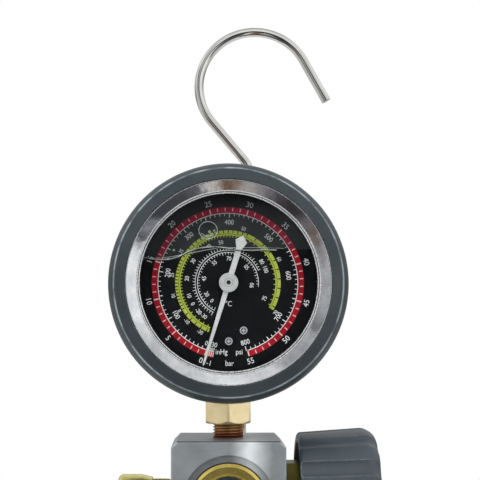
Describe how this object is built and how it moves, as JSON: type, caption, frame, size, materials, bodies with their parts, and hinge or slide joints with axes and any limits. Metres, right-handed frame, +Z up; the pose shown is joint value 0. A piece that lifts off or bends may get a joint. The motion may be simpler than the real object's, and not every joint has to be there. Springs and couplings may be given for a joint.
{
  "type": "refrigerant manifold gauge",
  "caption": "Booted glycerine-filled pressure gauge on an aluminium manifold with sight glass, shut-off valve, flare ports and a hanging hook.",
  "frame": {"origin": "on the axis of the lower service port, at the root of its 45 degree flare cone", "axes": "+Z up along the port and gauge stem, +X towards the valve knob, +Y to the back of the gauge"},
  "size_m": [0.0882, 0.0499, 0.2016],
  "materials": {
    "block_aluminium": "machined, fine brushed streaks",
    "port_brass": "turned, satin",
    "cap_brass": "turned, bright",
    "bonnet_brass": "machined, dark olive",
    "stem_brass": "pale, hexagon satin",
    "stem_steel": "ground",
    "case_steel": "drawn stainless sheet",
    "bezel_chrome": "polished",
    "hook_nickel": "nickel-plated wire, polished",
    "fastener_steel": "zinc plated",
    "boot_rubber": "moulded, satin slate grey",
    "knob_plastic": "moulded, satin slate grey",
    "seal_rubber": "black nitrile",
    "plug_rubber": "black",
    "disc_polymer": "PTFE valve seat",
    "lens_glass": "clear",
    "sight_glass": "clear",
    "dial_black": "matt black with printed scales",
    "pointer_grey": "light grey",
    "movement_brass": "stamped",
    "tube_bronze": "phosphor bronze"
  },
  "bodies": {
    "manifold": {"manifold_block": "block_aluminium", "service_port": "port_brass", "side_port": "port_brass", "sight_ring": "port_brass", "sight_glass": "sight_glass", "sight_gasket": "seal_rubber", "valve_bonnet": "bonnet_brass", "valve_packing": "seal_rubber", "gauge_socket": "stem_brass", "gauge_case": "case_steel", "fill_plug": "plug_rubber", "lens_gasket": "seal_rubber", "gauge_lens": "lens_glass", "gauge_bezel": "bezel_chrome", "gauge_boot": "boot_rubber", "gauge_dial": "dial_black", "dial_screws": "fastener_steel", "movement_back_plate": "movement_brass", "movement_front_plate": "movement_brass", "movement_pillars": "movement_brass", "movement_screws": "fastener_steel", "bourdon_tube": "tube_bronze", "tube_tip": "movement_brass", "hook_washers": "fastener_steel", "hook_screw": "fastener_steel"},
    "pointer": {"pointer": "pointer_grey", "pinion_shaft": "movement_brass"},
    "sector": {"sector_gear": "movement_brass"},
    "link": {"tube_link": "movement_brass"},
    "valve_disc": {"valve_disc": "disc_polymer"},
    "valve_knob": {"valve_knob": "knob_plastic", "valve_stem": "stem_steel", "knob_screw": "fastener_steel"},
    "side_cap": {"side_cap": "cap_brass", "side_cap_seal": "seal_rubber"},
    "hook": {"hanging_hook": "hook_nickel"}
  },
  "joints": [
    {"name": "sector_turn", "type": "hinge", "parent": "manifold", "child": "sector", "pos_m": [0.0165, 0, 0.105], "axis": [0, 1, 0], "range_deg": [-32.6, 0.6]},
    {"name": "pointer_turn", "type": "hinge", "parent": "manifold", "child": "pointer", "pos_m": [0, 0, 0.105], "axis": [0, 1, 0], "range_deg": [-6, 326]},
    {"name": "link_swing", "type": "hinge", "parent": "sector", "child": "link", "pos_m": [0.02217, 0, 0.10305], "axis": [0, 1, 0], "range_deg": [-0.6, 32.6]},
    {"name": "valve_lift", "type": "slide", "parent": "manifold", "child": "valve_disc", "axis": [1, 0, 0], "range_m": [0, 0.00226]},
    {"name": "valve_turn", "type": "hinge", "parent": "valve_disc", "child": "valve_knob", "pos_m": [0.02, 0, 0.0352], "axis": [1, 0, 0], "range_deg": [0, 540]},
    {"name": "side_cap_pull", "type": "slide", "parent": "manifold", "child": "side_cap", "axis": [-1, 0, 0], "range_m": [0, 0.014]},
    {"name": "hook_swing", "type": "hinge", "parent": "manifold", "child": "hook", "pos_m": [0, 0.0217, 0.04], "axis": [0, 1, 0], "range_deg": [-95, 66]}
  ],
  "couplings": [
    {"joint": "pointer_turn", "follows": "sector_turn", "ratio": -10},
    {"joint": "link_swing", "follows": "sector_turn", "ratio": -1},
    {"joint": "valve_lift", "follows": "valve_turn", "m_per_rad": 0.00023873}
  ]
}
